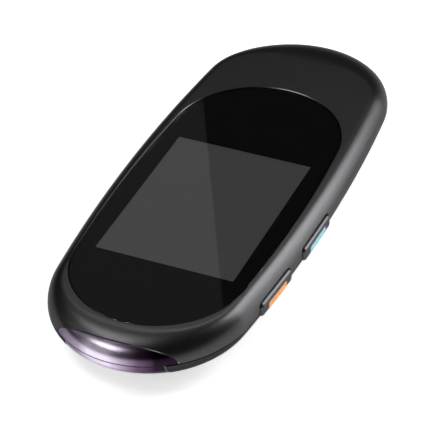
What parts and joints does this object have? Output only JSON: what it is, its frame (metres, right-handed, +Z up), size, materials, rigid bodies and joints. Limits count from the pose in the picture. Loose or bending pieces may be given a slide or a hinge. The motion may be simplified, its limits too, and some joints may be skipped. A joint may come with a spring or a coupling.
{
  "type": "microchip scanner",
  "caption": "Slim pebble-shaped handheld pet microchip reader with a flush black screen, a light window in the nose and striped push buttons on one side.",
  "frame": {"origin": "centre of the flat resting face under the housing", "axes": "+Z up through the screen, +Y along the length towards the tail and charging socket, +X towards the side with the buttons"},
  "size_m": [0.0562, 0.1372, 0.015],
  "materials": {
    "top_housing": "fine satin texture",
    "bottom_housing": "fine satin texture",
    "cover_glass": "polished, black print behind the border",
    "adhesive_tape": "matt black tape",
    "display_panel": "polished, blank grey",
    "pressed_steel": "plain",
    "polyimide": "satin amber film",
    "foam": "matt",
    "circuit_board": "solder mask",
    "cream_plastic": "satin",
    "chip_black": "matt",
    "small_parts": "plain",
    "screw_steel": "plain",
    "copper_wire": "varnished",
    "battery_foil": "laminated foil with an amber end strip",
    "lead_insulation": "red and black",
    "socket_steel": "plated",
    "buzzer_plastic": "plain",
    "lens_plastic": "clear with a violet tint",
    "white_plastic": "plain",
    "led_resin": "plain",
    "button_plastic": "fine satin texture",
    "blue_inlay": "satin",
    "orange_inlay": "satin",
    "plunger_plastic": "plain",
    "insert_brass": "knurled",
    "label_film": "blank"
  },
  "bodies": {
    "housing": {"top_shell": "top_housing", "bottom_shell": "bottom_housing", "cover_glass": "cover_glass", "glass_tape": "adhesive_tape", "display_panel": "display_panel", "display_frame": "pressed_steel", "display_flex": "polyimide", "display_pad": "foam", "main_board": "circuit_board", "flex_connector": "cream_plastic", "microcontroller": "chip_black", "reader_chip": "chip_black", "small_components": "small_parts", "board_screws": "screw_steel", "aerial_bobbin": "cream_plastic", "aerial_winding": "copper_wire", "aerial_leads": "copper_wire", "battery_cell": "battery_foil", "battery_pad": "foam", "battery_leads": "lead_insulation", "battery_connector": "cream_plastic", "usb_socket": "socket_steel", "buzzer": "buzzer_plastic", "front_lens": "lens_plastic", "lens_reflector": "white_plastic", "led_board": "white_plastic", "indicator_leds": "led_resin", "led_flex": "polyimide", "blue_switch_body": "pressed_steel", "orange_switch_body": "pressed_steel", "case_screws": "screw_steel", "threaded_inserts": "insert_brass", "rating_label": "label_film"},
    "blue_button": {"blue_button_cap": "button_plastic", "blue_button_stripe": "blue_inlay"},
    "orange_button": {"orange_button_cap": "button_plastic", "orange_button_stripe": "orange_inlay"},
    "blue_plunger": {"blue_switch_plunger": "plunger_plastic"},
    "orange_plunger": {"orange_switch_plunger": "plunger_plastic"}
  },
  "joints": [
    {"name": "blue_button_press", "type": "slide", "parent": "housing", "child": "blue_button", "axis": [-0.9998, 0.0174, 0], "range_m": [0, 0.0004], "stiffness_N_per_m": 2000, "springref_m": -0.0002},
    {"name": "blue_plunger_press", "type": "slide", "parent": "housing", "child": "blue_plunger", "axis": [-0.9998, 0.0174, 0], "range_m": [0, 0.0005]},
    {"name": "orange_button_press", "type": "slide", "parent": "housing", "child": "orange_button", "axis": [-0.9976, 0.0691, 0], "range_m": [0, 0.0004], "stiffness_N_per_m": 2000, "springref_m": -0.0002},
    {"name": "orange_plunger_press", "type": "slide", "parent": "housing", "child": "orange_plunger", "axis": [-0.9976, 0.0691, 0], "range_m": [0, 0.0005]}
  ],
  "couplings": [
    {"joint": "blue_plunger_press", "follows": "blue_button_press", "ratio": 1},
    {"joint": "orange_plunger_press", "follows": "orange_button_press", "ratio": 1}
  ]
}
